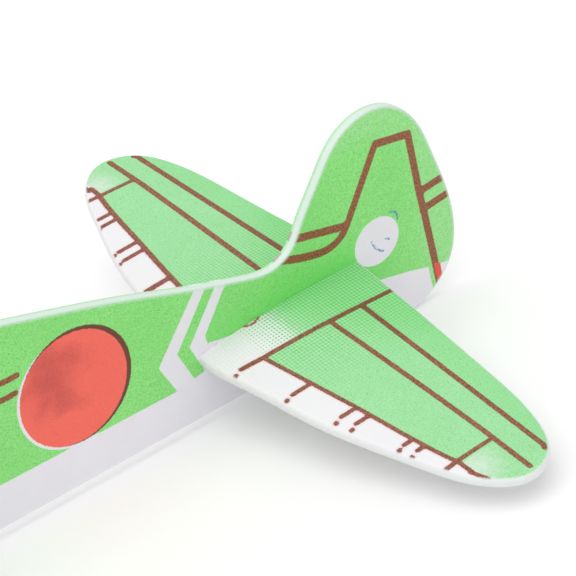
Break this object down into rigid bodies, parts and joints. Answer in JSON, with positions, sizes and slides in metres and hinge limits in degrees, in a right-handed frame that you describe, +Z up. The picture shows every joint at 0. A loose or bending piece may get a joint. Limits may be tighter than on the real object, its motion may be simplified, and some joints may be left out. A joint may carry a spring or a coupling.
{
  "type": "toy airplane",
  "caption": "Slot-together printed foam hand-launch glider: sheet fuselage with fin, cambered wing, drooped tailplane, weighted nose clip and free-spinning propeller.",
  "frame": {"origin": "on the surface that the glider stands on, below the middle of its overall length and its span", "axes": "+X forward to the nose along the propeller's axis, +Y to port, +Z up"},
  "size_m": [0.1965, 0.18, 0.0372],
  "materials": {
    "printed_foam": "matte",
    "clip_plastic": "satin",
    "propeller_plastic": "gloss",
    "pin_plastic": "gloss",
    "ballast_steel": "satin"
  },
  "bodies": {
    "airframe": {"fuselage": "printed_foam", "main_wing": "printed_foam", "tailplane": "printed_foam", "nose_clip": "clip_plastic", "nose_weight": "ballast_steel", "propeller_pin": "pin_plastic"},
    "propeller": {"propeller": "propeller_plastic"}
  },
  "joints": [
    {"name": "propeller_spin", "type": "hinge", "parent": "airframe", "child": "propeller", "pos_m": [0.09175, 0, 0.0165], "axis": [1, 0, 0], "continuous": true}
  ]
}
